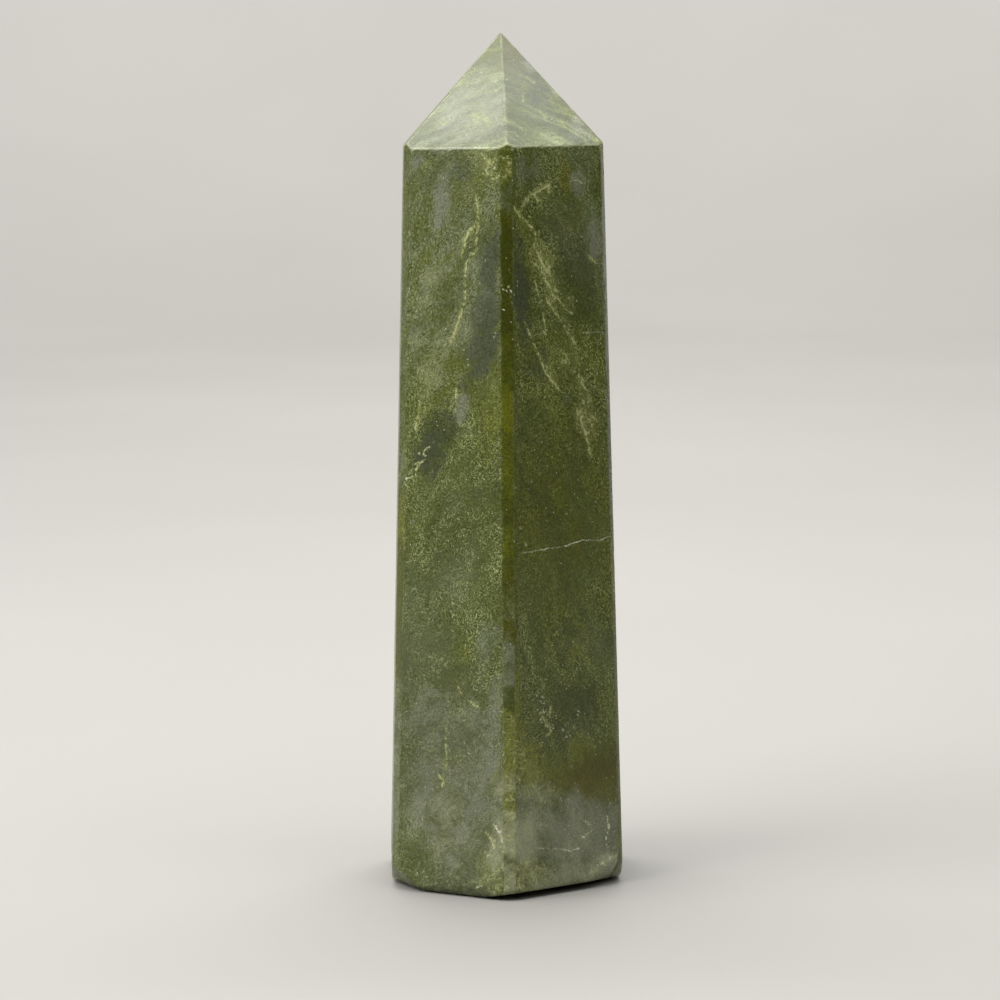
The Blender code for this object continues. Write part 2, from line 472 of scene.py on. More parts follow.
# Two more values at each point: nearness of a streak, and signed distance to its middle line
LINE_VALUES = ("streak", "line")


FAR_SIDES = (1, 2, 3, 4)
FAR_SIDE_SEED = 11
FAR_SIDE_PATCHES = 26
FAR_SIDE_STREAKS = 13

# How often each tone comes there, against the others
FAR_SIDE_TONES = {
    "lilac": 5, "slate": 4, "olive": 4, "brown": 2, "dark": 3, "grey": 4, "fleck": 7
}


def far_side_markings(stone):
    """Markings of the same kinds on the four sides that the front view doesn't show."""
    rng = random.Random(FAR_SIDE_SEED)
    made = {}
    for side in FAR_SIDES:
        lean = stone.layer_lean(side)
        patches = [random_patch(rng, lean) for _ in range(FAR_SIDE_PATCHES)]
        streaks = [random_streak(rng, lean) for _ in range(FAR_SIDE_STREAKS)]
        made[side] = patches + streaks
    return made


def random_patch(rng, lean):
    tone = rng.choices(list(FAR_SIDE_TONES), FAR_SIDE_TONES.values())[0]
    across, height = rng.uniform(-6.0, 6.0), rng.uniform(1.0, 97.0)
    half_width, half_height = rng.uniform(0.7, 1.9), rng.uniform(1.4, 4.6)
    lean += rng.gauss(0.0, 7.0)
    return Patch(tone, across, height, half_width, half_height, rng.uniform(0.35, 0.8), lean)


def random_streak(rng, lean):
    across, height = rng.uniform(-5.5, 5.5), rng.uniform(6.0, 96.0)
    points = [(across, height)]
    heading = math.radians(lean + rng.gauss(0.0, 8.0))
    for _ in range(rng.randint(2, 7)):
        heading += rng.gauss(0.0, 0.16)
        step = rng.uniform(0.8, 1.8)
        across += math.sin(heading) * step
        height -= math.cos(heading) * step
        points.append((across, height))
    tone = rng.choice(("fleck", "fleck", "pale"))
    return Streak(rng.uniform(0.3, 0.5), rng.uniform(0.5, 0.9), tuple(points), tone)


def eased(value, low, high):
    """0 at low, 1 at high, and smooth between them."""
    share = min(max((value - low) / (high - low), 0.0), 1.0)
    return share * share * (3.0 - 2.0 * share)


# A patch is full inside the first share of its half sizes, and gone beyond the second
PATCH_FADE = (0.2, 1.6)


def patch_strength(patch, across, height):
    lean = math.radians(patch.lean)
    right, up = across - patch.across, height - patch.height
    along = -right * math.sin(lean) + up * math.cos(lean)
    beside = right * math.cos(lean) + up * math.sin(lean)
    reach = math.hypot(beside / patch.half_width, along / patch.half_height)
    return patch.strength * eased(reach, PATCH_FADE[1], PATCH_FADE[0])


def distance_to_line(x, y, start, end):
    """Distance from a piece of a line, negative on its right."""
    dx, dy = end[0] - start[0], end[1] - start[1]
    share = ((x - start[0]) * dx + (y - start[1]) * dy) / (dx * dx + dy * dy)
    share = min(max(share, 0.0), 1.0)
    right, up = x - start[0] - dx * share, y - start[1] - dy * share
    return math.copysign(math.hypot(right, up), dx * up - dy * right)


def streak_distance(streak, across, height):
    pairs = zip(streak.points, streak.points[1:])
    return min((distance_to_line(across, height, *pair) for pair in pairs), key=abs)


def unmarked():
    """Values at a point that bears no marking."""
    return dict.fromkeys(TONES, 0.0) | {"streak": 0.0, "line": 1.0}


class Markings:
    """All markings of the stone, sorted so that those near a point are quickly found."""

    ROW = 2.0
    UPWARD_BEND = 1.7  # a bend reaches this much further upward than across
    STREAK_REACH = 0.6  # from a streak's middle line
    BAND_FADE = 1.4

    def __init__(self, stone):
        self.stone = stone
        self.near = {}
        for side, marks in (SEEN_MARKINGS | far_side_markings(stone)).items():
            for mark in marks:
                low, high = self.height_range(mark)
                for row in range(int(low // self.ROW), int(high // self.ROW) + 1):
                    self.near.setdefault((side, row), []).append(mark)

    @staticmethod
    def height_range(mark):
        if isinstance(mark, Streak):
            heights = [point[1] for point in mark.points]
            return min(heights) - 1.0, max(heights) + 1.0
        reach = PATCH_FADE[1] * max(mark.half_height, mark.half_width)
        return mark.height - reach, mark.height + reach

    def on_side(self, side, place):
        """Strength of each tone at a point of a side."""
        axis = self.stone.axis_at(place.z)
        across = (place - axis).dot(self.stone.tangent(side))
        bend = noise.noise_vector(place * 0.45) * 0.8 + noise.noise_vector(place * 1.6) * 0.45
        found = unmarked()
        nearest = 1.0
        for mark in self.near.get((side, int(place.z // self.ROW)), ()):
            if isinstance(mark, Patch):
                height = place.z + self.UPWARD_BEND * bend.z
                value = patch_strength(mark, across + bend.x, height)
                value *= 0.9 + 0.3 * bend.y
            else:
                distance = streak_distance(mark, across, place.z)
                value = mark.strength * eased(abs(distance) / mark.width, 1.3, 0.3)
                nearness = eased(abs(distance), self.STREAK_REACH, self.STREAK_REACH / 2)
                found["streak"] = max(found["streak"], nearness)
                if abs(distance) < abs(nearest):
                    nearest = distance
            found[mark.tone] = max(found[mark.tone], value)
        found["line"] = nearest
        self.beside_front_chamfer(found, side, across, place.z)
        return found

    @staticmethod
    def beside_front_chamfer(found, side, across, height):
        """The chamfer's olive runs on a little to its right, and a painted highlight, laid on as pale
        flecks, edges its left.
        """
        if height > SHOULDER:
            return
        margin = SIDE_HALF_WIDTH - (SIDE_HALF_WIDTH - SHOULDER_HALF_WIDTH) * height / SHOULDER
        inside = margin - abs(across)
        if side == RIGHT and across < 0.0:
            olive = 0.62 * eased(inside, 1.1, 0.0) * eased(height, *EDGE_FADE)
            found["edge"] = max(found["edge"], olive)
        # Painted highlight along the chamfer's left edge, in the fleck tone
        if side == LEFT and across > 0.0:
            found["fleck"] = max(found["fleck"], 0.6 * eased(inside, 0.3, 0.05))

    def on_chamfer(self, chamfer, place):
        found = unmarked()
        height = place.z + 2.2 * noise.noise(place * 0.6)
        fade = self.BAND_FADE
        for band in CHAMFER_BANDS:
            if band.chamfer == chamfer:
                rise = eased(height, band.low - fade, band.low + fade)
                fall = eased(height, band.high + fade, band.high - fade)
                found[band.tone] = max(found[band.tone], band.strength * rise * fall)
        if chamfer == 0:
            found["edge"] = eased(place.z, *EDGE_FADE) * eased(place.z, SHOULDER + 0.4, SHOULDER)
        return found


# Shape of the polished stone

# Heights of the rows of points at the rounded foot
FOOT_ROWS = (0.0, 0.02, 0.06, 0.12, 0.2, 0.3, 0.42, 0.56, 0.72, 0.9, 1.1, 1.32)

# Stretches of even rows above them: lowest row, highest row and step
ROW_STRETCHES = ((1.6, 86.4, 0.33), (86.55, 87.35, 0.07), (87.6, 98.8, 0.28), (98.95, 99.95, 0.1))


def row_heights():
    """Heights of the rows of points, closer together where the surface bends."""
    heights = list(FOOT_ROWS)
    for low, high, step in ROW_STRETCHES:
        count = round((high - low) / step)
        heights += [low + (high - low) * i / count for i in range(count + 1)]
    return heights


# Shares of a side's width, and of half a chamfer's, at which the columns near an edge stand
FINE_SHARES = (0.0, 0.005, 0.011, 0.02, 0.033, 0.052)
CHAMFER_SHARES = (0.0, 0.09, 0.3, 0.62)

# Steps between the fine columns at the two ends of a side
SEEN_SIDE_STEPS = 50
FAR_SIDE_STEPS = 20


def side_shares(even_steps):
    """Shares of a side's width at which its columns stand, closer together at both ends."""
    low = FINE_SHARES[-1]
    inner = [low + (1.0 - 2.0 * low) * i / even_steps for i in range(1, even_steps)]
    return list(FINE_SHARES) + inner + [1.0 - share for share in reversed(FINE_SHARES[1:])]


class Column(NamedTuple):
    """A line of points from foot to tip, on a side or on a chamfer."""

    upright: int  # which of the twelve upright facets
    share: float  # of that facet's width


def columns():
    made = []
    for index in range(2 * SIDES):
        if index % 2:
            seen = index // 2 in (LEFT, RIGHT)
            shares = side_shares(SEEN_SIDE_STEPS if seen else FAR_SIDE_STEPS)
        else:
            half = [share / 2 for share in CHAMFER_SHARES]
            shares = half + [0.5] + [1.0 - share for share in reversed(half[1:])]
        made += [Column(index, share) for share in shares]
    return made


def level_directions(stone, every_column, height):
    """Level direction from the axis to each column, the same all the way above the shoulder."""
    height = min(height, SHOULDER)
    centre = stone.axis_at(height)
    count = 2 * SIDES
    corners = [
        meeting_point(stone.upright[i - 1], stone.upright[i], height) for i in range(count)
    ]
    return [
        (corners[c.upright].lerp(corners[(c.upright + 1) % count], c.share) - centre).normalized()
        for c in every_column
    ]


BLEND_STEPS = 4
LEAST_SLOPE = 1e-4  # towards a plane that the direction meets
LEAST_EXPONENT = -14.0  # of a plane that counts in the blend


def rounded_reach(planes, centre, direction, sharpness):
    """Distance to the surface along a level direction, and how near an edge of it the point is.

    Where facets meet, their planes are blended, so each edge is rounded inward.
    """
    pairs = []
    for plane in planes:
        slope = plane.normal.x * direction.x + plane.normal.y * direction.y
        pairs.append((slope, plane.normal.dot(centre) - plane.offset))
    reach = min(-start / slope for slope, start in pairs if slope > LEAST_SLOPE)
    for _ in range(BLEND_STEPS):
        total = steepness = 0.0
        for slope, start in pairs:
            exponent = sharpness * (slope * reach + start)
            if exponent > LEAST_EXPONENT:
                weight = math.exp(exponent)
                total += weight
                steepness += weight * slope
        reach -= math.log(total) / sharpness * total / steepness
    depths = sorted(-(slope * reach + start) for slope, start in pairs)
    return reach, depths[1] - depths[0]


# Rough distance from the axis at which the polish is looked up
ROUGH_REACH = 12.0

# A small pit in the right side, its middle given across and in height
PIT_CENTRE = (-5.4, 82.2)
PIT_RADIUS = 0.42
PIT_DEPTH = 0.16


def edge_sharpness(place):
    """Sharpness of the polish, uneven as hand work is."""
    wander = 1.0 + 0.45 * noise.noise(place * 0.35)
    share = eased(place.z, 1.0, FOOT_ZONE_TOP) * eased(place.z, *BLUNT_ZONE)
    return (END_SHARPNESS + (EDGE_SHARPNESS - END_SHARPNESS) * share) * wander


# Depths of the slow waves and the ripples of the polish, and of the chips in the edges
WAVE_DEPTH = 0.022
RIPPLE_DEPTH = 0.006
CHIP_DEPTH = 0.13
SMALL_CHIP_DEPTH = 0.05
CHIP_PLACES = Vector((7.0, 3.0, 1.0))

# Width of the rim along an edge that is chipped and that bears a painted highlight
RIM_WIDTH = 0.16


def worn_depth(place, edge_distance):
    """How far the surface lies below its ideal shape."""
    waves = WAVE_DEPTH * (1.0 + noise.noise(place * 0.13))
    ripples = RIPPLE_DEPTH * (1.0 + noise.noise(place * 0.6))
    near_edge = eased(edge_distance, RIM_WIDTH, 0.0)
    chip = eased(noise.noise(place * 1.7 + CHIP_PLACES), 0.28, 0.62)
    small_chip = eased(noise.noise(place * 4.3), 0.3, 0.7)
    return waves + ripples + near_edge * (CHIP_DEPTH * chip + SMALL_CHIP_DEPTH * small_chip)


def pit_depth(stone, column, place):
    """Depth of the pit at a point, 0 outside it."""
    if column.upright != 2 * RIGHT + 1:
        return 0.0
    across = (place - stone.axis_at(place.z)).dot(stone.tangent(RIGHT))
    away = math.hypot(across - PIT_CENTRE[0], (place.z - PIT_CENTRE[1]) * 0.8)
    return PIT_DEPTH * eased(away, PIT_RADIUS, 0.1)


def surface_point(stone, column, direction, height):
    centre = stone.axis_at(height)
    planes = stone.planes_at(height)
    rough = centre + direction * ROUGH_REACH
    reach, edge_distance = rounded_reach(planes, centre, direction, edge_sharpness(rough))
    place = centre + direction * reach
    fade = eased(height, 0.0, 0.6) * eased(height, TIP, TIP - 1.5)
    depth = worn_depth(place, edge_distance) + pit_depth(stone, column, place)
    return centre + direction * max(reach - depth * fade, 0.02), edge_distance


class Surface:
    """Points, faces and tones of the stone's skin, before they become a mesh."""

    def __init__(self):
        self.points = []
        self.faces = []
        self.tones = {tone: [] for tone in TONES + LINE_VALUES}

    def add(self, place, tones):
        self.points.append(place)
        for tone, value in tones.items():
            self.tones[tone].append(value)
        return len(self.points) - 1


def build_surface(stone):
    markings = Markings(stone)
    every_column = columns()
    surface = Surface()
    rows = []
    for height in row_heights():
        directions = level_directions(stone, every_column, height)
        row = []
        for column, direction in zip(every_column, directions):
            place, edge_distance = surface_point(stone, column, direction, height)
            tones = tones_at(markings, column, place)
            # A painted highlight along each edge goes into the light tone
            tones["light"] = max(tones["light"], painted_rim_highlight(place, edge_distance))
            row.append(surface.add(place, tones))
        rows.append(row)
    join_rows(surface, rows)
    close_tip(surface, rows[-1])
    close_base(surface, rows[0])
    return surface


def tones_at(markings, column, place):
    index = column.upright // 2
    if column.upright % 2:
        return markings.on_side(index, place)
    if place.z > SHOULDER + 0.3:
        before = markings.on_side((index - 1) % SIDES, place)
        after = markings.on_side(index, place)
        return before if column.share < 0.5 else after
    return markings.on_chamfer(index, place)


def painted_rim_highlight(place, edge_distance):
    """Painted highlight along a polished edge: plain at the tip and shoulder, faint along the long
    edges.
    """
    wander = 0.75 + 0.6 * noise.noise(place * 0.8)
    strength = 0.2 + 0.45 * eased(place.z, SHOULDER - 0.6, SHOULDER)
    strength -= 0.2 * eased(place.z, SHOULDER + 0.4, SHOULDER + 1.2)
    return strength * wander * eased(edge_distance, RIM_WIDTH, RIM_WIDTH / 4)


def join_rows(surface, rows):
    for lower, upper in zip(rows, rows[1:]):
        count = len(lower)
        for i in range(count):
            j = (i + 1) % count
            surface.faces.append((lower[i], lower[j], upper[j], upper[i]))


def close_tip(surface, row):
    top = sum((surface.points[i] for i in row), Vector()) / len(row)
    peak = surface.add(Vector((top.x, top.y, TIP)), unmarked())
    for i, index in enumerate(row):
        surface.faces.append((index, row[(i + 1) % len(row)], peak))


# Sizes of the base's rings of points, as shares of its outline
BASE_RINGS = (0.97, 0.85, 0.6, 0.3)


def close_base(surface, row):
    """The flat that the stone stands on, as rings round its middle."""
    middle = sum((surface.points[i] for i in row), Vector()) / len(row)
    outer = row
    for share in BASE_RINGS:
        ring = [surface.add(middle.lerp(surface.points[i], share), unmarked()) for i in row]
        join_rows(surface, [ring, outer])
        outer = ring
    centre = surface.add(middle, unmarked())
    for i, index in enumerate(outer):
        surface.faces.append((outer[(i + 1) % len(outer)], index, centre))


def make_stone_object(stone, material):
    surface = build_surface(stone)
    polished = add_smooth_object("polished_stone", surface.points, surface.faces, material)
    for tone, values in surface.tones.items():
        attribute = polished.data.attributes.new(tone, "FLOAT", "POINT")
        attribute.data.foreach_set("value", values)
    polished.data.validate()
    return polished


# Shader nodes


def linear(red, green, blue):
    """Scene colour of a screen colour given as 0 to 255."""

    def one(value):
        value /= 255.0
        return value / 12.92 if value <= 0.04045 else ((value + 0.055) / 1.055) ** 2.4

    return one(red), one(green), one(blue), 1.0


class Tree:
    """A new material, and short ways of adding nodes to it."""

    def __init__(self, name):
        self.material = bpy.data.materials.new(name)
        self.material.use_nodes = True
        self.tree = self.material.node_tree

    def shade(self, name, value):
        self.put(value, self.tree.nodes["Principled BSDF"].inputs[name])

    def put(self, value, socket):
        if isinstance(value, bpy.types.NodeSocket):
            self.tree.links.new(value, socket)
        else:
            socket.default_value = value

    def add(self, kind, *values, **settings):
        """A node with these settings, and these values or links at its first inputs."""
        node = self.tree.nodes.new(kind)
        for name, value in settings.items():
            setattr(node, name, value)
        for value, socket in zip(values, node.inputs):
            self.put(value, socket)
        return node

    def math(self, operation, *values, clamp=False):
        node = self.add("ShaderNodeMath", *values, operation=operation, use_clamp=clamp)
        return node.outputs[0]

    def times(self, first, second):
        return self.math("MULTIPLY", first, second)

    def times_plus(self, first, second, third):
        return self.math("MULTIPLY_ADD", first, second, third)

    def vector(self, operation, *values, scale=None):
        node = self.add("ShaderNodeVectorMath", *values, operation=operation)
        if scale is not None:
            self.put(scale, node.inputs["Scale"])
        return node.outputs["Value" if operation in ("DOT_PRODUCT", "DISTANCE") else "Vector"]

    def noise(self, where, scale, detail=3.0, roughness=0.55):
        node = self.add("ShaderNodeTexNoise", where)
        for name, value in (("Scale", scale), ("Detail", detail), ("Roughness", roughness)):
            self.put(value, node.inputs[name])
        return node

    def ramp(self, value, low, high, start=0.0, end=1.0):
        """Smooth step of a value between low and high."""
        inputs = value, low, high, start, end
        return self.add("ShaderNodeMapRange", *inputs, interpolation_type="SMOOTHSTEP").outputs[0]

    def tone(self, name):
        return self.add("ShaderNodeAttribute", attribute_name=name).outputs["Fac"]

    def mix(self, share, first, second):
        node = self.add("ShaderNodeMix", share, data_type="RGBA")
        self.put(first, node.inputs[6])
        self.put(second, node.inputs[7])
        return node.outputs[2]

    def colour_ramp(self, value, stops):
        node = self.add("ShaderNodeValToRGB", value)
        elements = node.color_ramp.elements
        while len(elements) < len(stops):
            elements.new(0.5)
        for element, (position, colour) in zip(elements, stops):
            element.position = position
            element.color = colour
        return node.outputs[0]


# Colours of the stone, as they look on a screen in even light
DEEP_GREEN = linear(43, 49, 16)
GREEN = linear(57, 64, 20)
SAGE = linear(79, 87, 38)
PALE_SAGE = linear(134, 141, 96)
LILAC = linear(99, 102, 84)
GREY = linear(82, 88, 66)
SLATE = linear(50, 56, 35)
OLIVE = linear(82, 86, 8)
BROWN = linear(75, 73, 2)
HALO = linear(105, 110, 56)
FLECK = linear(158, 160, 110)
# Pale colour of the painted light: edge highlights and washes of light
PAINTED_LIGHT = linear(138, 141, 112)
CRYSTAL = linear(196, 196, 172)
EDGE = linear(53, 59, 1)


# Scale and depth of the folds of the layers, and of the small folds in them
FOLDS = ((0.09, 5.0), (0.55, 1.3))


def bent_place(nodes, where, start, scale, detail, roughness, depth):
    """The start, moved by up to half of a depth each way by a noise."""
    moved = nodes.noise(where, scale, detail, roughness).outputs["Color"]
    moved = nodes.vector("SUBTRACT", moved, (0.5, 0.5, 0.5))
    return nodes.vector("ADD", start, nodes.vector("SCALE", moved, scale=depth))


def layered_coordinates(nodes, where):
    """Coordinates in which the third runs across the stone's layers, bent by slow folds."""
    first = LAYER_NORMAL.orthogonal().normalized()
    second = LAYER_NORMAL.cross(first)
    bent = where
    for scale, depth in FOLDS:
        bent = bent_place(nodes, where, bent, scale, 2.0, 0.55, depth)
    combine = nodes.add("ShaderNodeCombineXYZ")
    for socket, direction in zip(combine.inputs, (first, second, LAYER_NORMAL)):
        nodes.put(nodes.vector("DOT_PRODUCT", bent, tuple(direction)), socket)
    return combine.outputs[0]


def layer_noise(nodes, layered, along, scale, detail, roughness=0.55):
    """Noise whose detail is longer along the layers than across them."""
    where = nodes.vector("MULTIPLY", layered, (1.0 / along, 1.0 / along, 1.0))
    return nodes.noise(where, scale, detail, roughness).outputs[0]


# Weights of the noises in the ground's light and dark
GRAIN_WEIGHT = 0.6
SPECK_WEIGHT = 2.1
BROAD_WEIGHT = 0.3
CLOT_WEIGHT = 0.3
LAYER_WEIGHT = 0.5
TIP_LAYER_WEIGHT = 1.3  # added to it at the tip
GROUND_LEVEL = 0.52


def ground_value(nodes, layered, warm, clots, at_tip):
    """Light and dark of the green ground, from broad layers down to single grains."""
    grain = layer_noise(nodes, layered, 2.0, 4.8, 2.0, 0.7)
    speck = layer_noise(nodes, layered, 1.6, 9.0, 1.0, 0.6)
    total = nodes.times_plus(grain, GRAIN_WEIGHT, -(GRAIN_WEIGHT + SPECK_WEIGHT) / 2)
    total = nodes.times_plus(speck, SPECK_WEIGHT, total)
    contrast = nodes.ramp(warm, 0.38, 0.62, 0.75, 1.08)
    contrast = nodes.times(contrast, nodes.ramp(clots, 0.36, 0.64, 0.6, 1.3))
    contrast = nodes.times_plus(at_tip, -0.35, contrast)
    total = nodes.times(total, contrast)

    broad = layer_noise(nodes, layered, 4.0, 0.28, 2.0)
    layers = layer_noise(nodes, layered, 14.0, 1.4, 4.0, 0.7)
    layer_weight = nodes.times_plus(at_tip, TIP_LAYER_WEIGHT, LAYER_WEIGHT)
    parts = (broad, BROAD_WEIGHT), (clots, CLOT_WEIGHT), (layers, layer_weight)
    for noise_value, weight in parts:
        away = nodes.math("SUBTRACT", noise_value, 0.5)
        total = nodes.times_plus(away, weight, total)
    return nodes.math("ADD", total, GROUND_LEVEL), grain


def curly_threads(nodes, layered):
    """Thin curling lines where a noise crosses its middle value."""
    wave = layer_noise(nodes, layered, 1.8, 1.7, 2.0, 0.6)
    away = nodes.math("ABSOLUTE", nodes.math("SUBTRACT", wave, 0.5))
    return nodes.ramp(away, 0.07, 0.0)


def ragged(nodes, strength, fray):
    """A tone's strength, broken up by the grain so that it has no clean edge."""
    shifted = nodes.math("ADD", strength, fray)
    return nodes.times(nodes.ramp(shifted, 0.0, 0.8), nodes.ramp(strength, 0.0, 0.25))


# How far a marking's edge is frayed by clots, and by single grains
CLOT_FRAY = 1.8
GRAIN_FRAY = 0.6


def fraying(nodes, clots, grain):
    """Unevenness about zero, in clots and in single grains."""
    total = nodes.times_plus(clots, CLOT_FRAY, -(CLOT_FRAY + GRAIN_FRAY) / 2)
    return nodes.times_plus(grain, GRAIN_FRAY, total)


STREAK_WOBBLE = 1.7


def streak_lines(nodes, clots, grain, at_tip):
    """The thin middle line of each streak, wandering and broken into beads."""
    wobble = nodes.times_plus(clots, STREAK_WOBBLE, -STREAK_WOBBLE / 2)
    away = nodes.math("ABSOLUTE", nodes.math("ADD", nodes.tone("line"), wobble))
    line = nodes.times(nodes.ramp(away, 0.16, 0.03), nodes.tone("streak"))
    beads = nodes.times_plus(clots, 1.2, grain)
    line = nodes.times(line, nodes.ramp(beads, 0.98, 1.22))
    return nodes.times(line, nodes.times_plus(at_tip, -0.85, 1.0))


class Cover(NamedTuple):
    """How a marked tone looks."""

    tone: str
    colour: tuple
    share: float  # of the ground that it covers at full strength
    grain: float  # share of the ground's light and dark that it keeps
    fraying: float = 1.0  # how far its edge breaks up


COVERS = (
    Cover("edge", EDGE, 0.95, 0.5),
    Cover("olive", OLIVE, 0.75, 0.9),
    Cover("brown", BROWN, 0.85, 0.8),
    Cover("grey", GREY, 0.75, 0.6),
    Cover("slate", SLATE, 0.92, 0.4),
    Cover("lilac", LILAC, 0.8, 0.45, 0.5),
    Cover("fleck", HALO, 0.5, 0.9),
    # The light cover lays painted light over the stone's colour
    Cover("light", PAINTED_LIGHT, 0.8, 0.3, 0.4),
)


def bright_grains(nodes, where, layered):
    """Pale flecks and white crystals, crowded where their tones are strong."""
    grains = layer_noise(nodes, layered, 2.6, 3.6, 2.0, 0.65)
    grains = nodes.times_plus(curly_threads(nodes, layered), 0.1, grains)
    crowd = nodes.times_plus(nodes.tone("fleck"), 0.26, grains)
    flecks = nodes.ramp(crowd, 0.72, 0.9)
    white = nodes.times_plus(nodes.tone("pale"), 0.34, grains)
    crystals = nodes.ramp(white, 0.78, 0.92)
    cell = nodes.add("ShaderNodeTexVoronoi", where)
    nodes.put(2.4, cell.inputs["Scale"])
    red = nodes.add("ShaderNodeSeparateColor", cell.outputs["Color"]).outputs[0]
    rare = nodes.math("GREATER_THAN", red, 0.95)
    near = nodes.ramp(cell.outputs["Distance"], 0.22, 0.08)
    return flecks, nodes.math("MAXIMUM", crystals, nodes.times(rare, near))


class Crack(NamedTuple):
    """A healed crack in the right side, along points given across and in height."""

    width: float
    strength: float
    points: tuple


CRACKS = (
    Crack(
        0.075, 0.85,
        ((-5.4, 40.5), (-3.5, 40.6), (-1.5, 40.7), (0.4, 40.8), (2.8, 41.3), (4.9, 41.1), (7.1, 41.4)),
    ),
    Crack(0.06, 0.55, ((3.2, 65.3), (4.9, 65.4), (6.7, 65.2))),
    Crack(0.07, 0.7, ((-4.3, 6.0), (-2.5, 5.6), (-0.7, 5.3), (0.6, 4.9), (1.8, 5.1))),
)

# Further than anything on the stone
FAR_AWAY = 100.0


def segment_distance(nodes, where, start, end):
    """Distance from a straight piece of a crack."""
    span = end - start
    away = nodes.vector("SUBTRACT", where, tuple(start))
    share = nodes.vector("DOT_PRODUCT", away, tuple(span / span.length_squared))
    share = nodes.math("ADD", share, 0.0, clamp=True)
    nearest = nodes.vector("SCALE", tuple(span), scale=share)
    return nodes.vector("DISTANCE", away, nearest)


def crack_lines(nodes, stone, where, fray):
    """Pale hairlines, thinner and thicker by turns."""
    total = 0.0
    bent = bent_place(nodes, where, where, 1.6, 4.0, 0.7, 0.5)
    for crack in CRACKS:
        places = [stone.on_side(RIGHT, *point) for point in crack.points]
        nearest = FAR_AWAY
        for start, end in zip(places, places[1:]):
            nearest = nodes.math("MINIMUM", segment_distance(nodes, bent, start, end), nearest)
        line = nodes.ramp(nearest, crack.width * 1.6, crack.width * 0.3, 0.0, crack.strength)
        total = nodes.math("MAXIMUM", line, total)
    broken = nodes.ramp(fray, -0.2, 0.2, 0.25, 1.0)
    return nodes.times(total, broken)


# The ground's colours from dark to light
GROUND_STOPS = ((0.0, DEEP_GREEN), (0.42, GREEN), (0.64, SAGE), (1.0, PALE_SAGE))

SHIFT_STRENGTH = 0.35  # of the slow shifts to olive and to grey
DARKENING = 0.34  # by the dark tone
LEAST_LIGHT = 0.52  # of the colours that are laid over the ground

# Shares of the colour under them that the brightest grains cover
FLECK_SHARE = 0.6
LINE_SHARE = 0.85
CRYSTAL_SHARE = 0.75


def covered_ground(nodes, warm, fray, value):
    """The ground's colour with the marked tones over it."""
    # The dark tone holds the stone's dark spots, and a painted contact shadow along the left foot
    dark = ragged(nodes, nodes.tone("dark"), fray)
    value = nodes.times_plus(dark, -DARKENING, value)
    colour = nodes.colour_ramp(value, GROUND_STOPS)
    light = nodes.math("ADD", nodes.ramp(value, 0.05, 1.0), LEAST_LIGHT)
    warmth = nodes.times(nodes.ramp(warm, 0.5, 0.66), SHIFT_STRENGTH)
    coolness = nodes.times(nodes.ramp(warm, 0.48, 0.34), SHIFT_STRENGTH)
    colour = nodes.mix(warmth, colour, nodes.vector("SCALE", OLIVE[:3], scale=light))
    colour = nodes.mix(coolness, colour, nodes.vector("SCALE", GREY[:3], scale=light))
    for cover in COVERS:
        own_fray = nodes.times(fray, cover.fraying)
        cover_part = ragged(nodes, nodes.tone(cover.tone), own_fray)
        strength = nodes.times(cover_part, cover.share)
        shade = nodes.times_plus(light, cover.grain, 1.0 - cover.grain)
        own_colour = nodes.vector("SCALE", cover.colour[:3], scale=shade)
        colour = nodes.mix(strength, colour, own_colour)
    return colour


IOR = 1.46
SMOOTHEST = 0.13
GRAIN_ROUGHNESS = 0.3
BUMP_STRENGTH = 0.35
BUMP_DEPTH = 0.05


def set_polish(nodes, where, grain):
    """Gloss that varies from grain to grain, and a very fine unevenness."""
    roughness = nodes.times_plus(grain, GRAIN_ROUGHNESS, SMOOTHEST)
    nodes.shade("Roughness", roughness)
    nodes.shade("IOR", IOR)
    bump = nodes.add("ShaderNodeBump")
    nodes.put(BUMP_STRENGTH, bump.inputs["Strength"])
    nodes.put(BUMP_DEPTH * MM, bump.inputs["Distance"])
    nodes.put(nodes.noise(where, 4.0, 2.0, 0.6).outputs[0], bump.inputs["Height"])
    nodes.shade("Normal", bump.outputs[0])


def stone_material(stone):
    nodes = Tree("polished_vesuvianite")
    object_place = nodes.add("ShaderNodeTexCoord").outputs["Object"]
    where = nodes.vector("SCALE", object_place, scale=1.0 / MM)
    layered = layered_coordinates(nodes, where)
    warm = layer_noise(nodes, layered, 3.0, 0.16, 2.0)
    height = nodes.add("ShaderNodeSeparateXYZ", where).outputs[2]
    at_tip = nodes.ramp(height, SHOULDER, SHOULDER + 0.3)
    clots = layer_noise(nodes, layered, 3.2, 0.8, 4.0, 0.7)
    value, grain = ground_value(nodes, layered, warm, clots, at_tip)
    fray = fraying(nodes, clots, grain)
    colour = covered_ground(nodes, warm, fray, value)
    flecks, crystals = bright_grains(nodes, where, layered)
    lines = streak_lines(nodes, clots, grain, at_tip)
    colour = nodes.mix(nodes.times(flecks, FLECK_SHARE), colour, FLECK)
    colour = nodes.mix(nodes.times(lines, LINE_SHARE), colour, FLECK)
    colour = nodes.mix(nodes.times(crystals, CRYSTAL_SHARE), colour, CRYSTAL)
    colour = nodes.mix(crack_lines(nodes, stone, where, fray), colour, CRYSTAL)
    nodes.shade("Base Color", colour)
    set_polish(nodes, where, grain)
    return nodes.material


# Studio: camera, lamps and a pale floor

CAMERA_PLACE = Vector((0.09, -393.3, 92.0))
CAMERA_PITCH = math.radians(6.808)
CAMERA_ROLL = math.radians(0.903)
LENS = 120.0
SENSOR = 36.0


